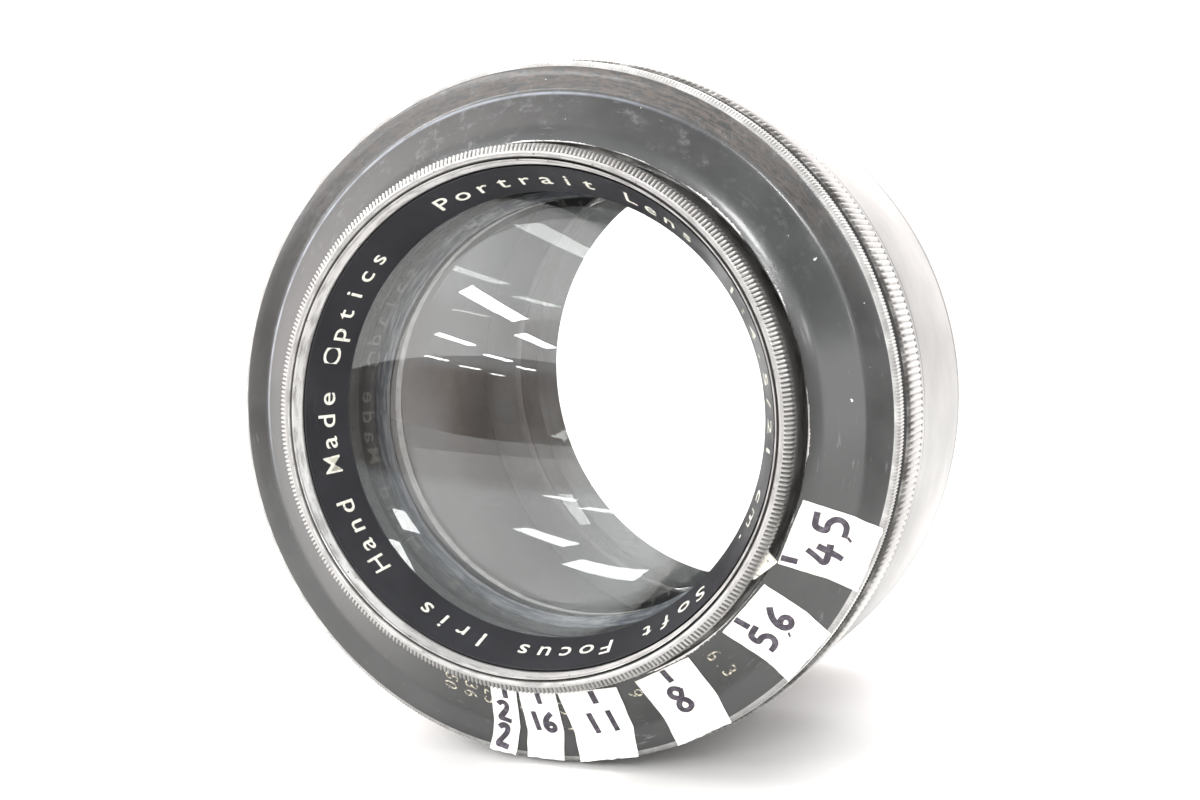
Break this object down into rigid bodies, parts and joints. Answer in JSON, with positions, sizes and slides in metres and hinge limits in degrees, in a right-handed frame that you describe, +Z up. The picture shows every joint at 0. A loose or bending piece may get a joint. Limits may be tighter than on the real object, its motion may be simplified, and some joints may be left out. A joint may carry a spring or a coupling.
{
  "type": "portrait camera lens",
  "caption": "Round barrel portrait lens with a knurled iris setting ring, lettered dial, twin cemented glass groups, blade iris and rear tube.",
  "frame": {"origin": "centre of the lens's footprint, on the surface that it lies on", "axes": "optical axis along Y with the front towards -Y, +Z up, +X to the right seen from the front"},
  "size_m": [0.0818, 0.0804, 0.0819],
  "materials": {
    "black_lacquer": "satin",
    "worn_nickel": "satin",
    "satin_nickel": "satin",
    "matt_black": "matte",
    "brass": "satin",
    "blued_steel": "satin",
    "crown_glass": "polished",
    "flint_glass": "polished",
    "white_paint": "matte",
    "paper": "matte"
  },
  "bodies": {
    "barrel": {"aperture_dial": "black_lacquer", "clamp_ring": "worn_nickel", "barrel_shell": "satin_nickel", "body_plate": "brass", "dial_post_1": "brass", "dial_post_2": "brass", "dial_post_3": "brass", "front_cell": "worn_nickel", "name_ring": "matt_black", "rear_cell": "black_lacquer", "rear_ring": "matt_black", "rear_tube": "black_lacquer", "front_crown": "crown_glass", "front_flint": "flint_glass", "rear_flint": "flint_glass", "rear_crown": "crown_glass", "pivot_plate": "matt_black", "iris_spacer": "brass", "paper_label_4.5": "paper", "paper_label_5.6": "paper", "paper_label_8": "paper", "paper_label_11": "paper", "paper_label_16": "paper", "paper_label_22": "paper"},
    "setting": {"setting_ring": "worn_nickel", "drive_pin": "brass", "index_pointer": "white_paint", "cam_ring": "brass"},
    "iris_blade_1": {"iris_blade_1": "blued_steel"},
    "iris_blade_2": {"iris_blade_2": "blued_steel"},
    "iris_blade_3": {"iris_blade_3": "blued_steel"},
    "iris_blade_4": {"iris_blade_4": "blued_steel"},
    "iris_blade_5": {"iris_blade_5": "blued_steel"},
    "iris_blade_6": {"iris_blade_6": "blued_steel"},
    "iris_blade_7": {"iris_blade_7": "blued_steel"},
    "iris_blade_8": {"iris_blade_8": "blued_steel"},
    "iris_blade_9": {"iris_blade_9": "blued_steel"},
    "iris_blade_10": {"iris_blade_10": "blued_steel"},
    "iris_blade_11": {"iris_blade_11": "blued_steel"},
    "iris_blade_12": {"iris_blade_12": "blued_steel"}
  },
  "joints": [
    {"name": "iris_setting", "type": "hinge", "parent": "barrel", "child": "setting", "pos_m": [0, -0.03143, 0.04094], "axis": [0, 1, 0], "range_deg": [0, 82.5]},
    {"name": "blade_1_pivot", "type": "hinge", "parent": "barrel", "child": "iris_blade_1", "pos_m": [0.033, -0.01793, 0.04094], "axis": [0, 1, 0], "range_deg": [0, 37.71]},
    {"name": "blade_2_pivot", "type": "hinge", "parent": "barrel", "child": "iris_blade_2", "pos_m": [0.02858, -0.01793, 0.02444], "axis": [0, 1, 0], "range_deg": [0, 37.71]},
    {"name": "blade_3_pivot", "type": "hinge", "parent": "barrel", "child": "iris_blade_3", "pos_m": [0.0165, -0.01793, 0.01236], "axis": [0, 1, 0], "range_deg": [0, 37.71]},
    {"name": "blade_4_pivot", "type": "hinge", "parent": "barrel", "child": "iris_blade_4", "pos_m": [0, -0.01793, 0.00794], "axis": [0, 1, 0], "range_deg": [0, 37.71]},
    {"name": "blade_5_pivot", "type": "hinge", "parent": "barrel", "child": "iris_blade_5", "pos_m": [-0.0165, -0.01793, 0.01236], "axis": [0, 1, 0], "range_deg": [0, 37.71]},
    {"name": "blade_6_pivot", "type": "hinge", "parent": "barrel", "child": "iris_blade_6", "pos_m": [-0.02858, -0.01793, 0.02444], "axis": [0, 1, 0], "range_deg": [0, 37.71]},
    {"name": "blade_7_pivot", "type": "hinge", "parent": "barrel", "child": "iris_blade_7", "pos_m": [-0.033, -0.01793, 0.04094], "axis": [0, 1, 0], "range_deg": [0, 37.71]},
    {"name": "blade_8_pivot", "type": "hinge", "parent": "barrel", "child": "iris_blade_8", "pos_m": [-0.02858, -0.01793, 0.05744], "axis": [0, 1, 0], "range_deg": [0, 37.71]},
    {"name": "blade_9_pivot", "type": "hinge", "parent": "barrel", "child": "iris_blade_9", "pos_m": [-0.0165, -0.01793, 0.06952], "axis": [0, 1, 0], "range_deg": [0, 37.71]},
    {"name": "blade_10_pivot", "type": "hinge", "parent": "barrel", "child": "iris_blade_10", "pos_m": [0, -0.01793, 0.07394], "axis": [0, 1, 0], "range_deg": [0, 37.71]},
    {"name": "blade_11_pivot", "type": "hinge", "parent": "barrel", "child": "iris_blade_11", "pos_m": [0.0165, -0.01793, 0.06952], "axis": [0, 1, 0], "range_deg": [0, 37.71]},
    {"name": "blade_12_pivot", "type": "hinge", "parent": "barrel", "child": "iris_blade_12", "pos_m": [0.02858, -0.01793, 0.05744], "axis": [0, 1, 0], "range_deg": [0, 37.71]}
  ],
  "couplings": [
    {"joint": "blade_1_pivot", "follows": "iris_setting", "ratio": 0.45643},
    {"joint": "blade_2_pivot", "follows": "iris_setting", "ratio": 0.45643},
    {"joint": "blade_3_pivot", "follows": "iris_setting", "ratio": 0.45643},
    {"joint": "blade_4_pivot", "follows": "iris_setting", "ratio": 0.45643},
    {"joint": "blade_5_pivot", "follows": "iris_setting", "ratio": 0.45643},
    {"joint": "blade_6_pivot", "follows": "iris_setting", "ratio": 0.45643},
    {"joint": "blade_7_pivot", "follows": "iris_setting", "ratio": 0.45643},
    {"joint": "blade_8_pivot", "follows": "iris_setting", "ratio": 0.45643},
    {"joint": "blade_9_pivot", "follows": "iris_setting", "ratio": 0.45643},
    {"joint": "blade_10_pivot", "follows": "iris_setting", "ratio": 0.45643},
    {"joint": "blade_11_pivot", "follows": "iris_setting", "ratio": 0.45643},
    {"joint": "blade_12_pivot", "follows": "iris_setting", "ratio": 0.45643}
  ]
}
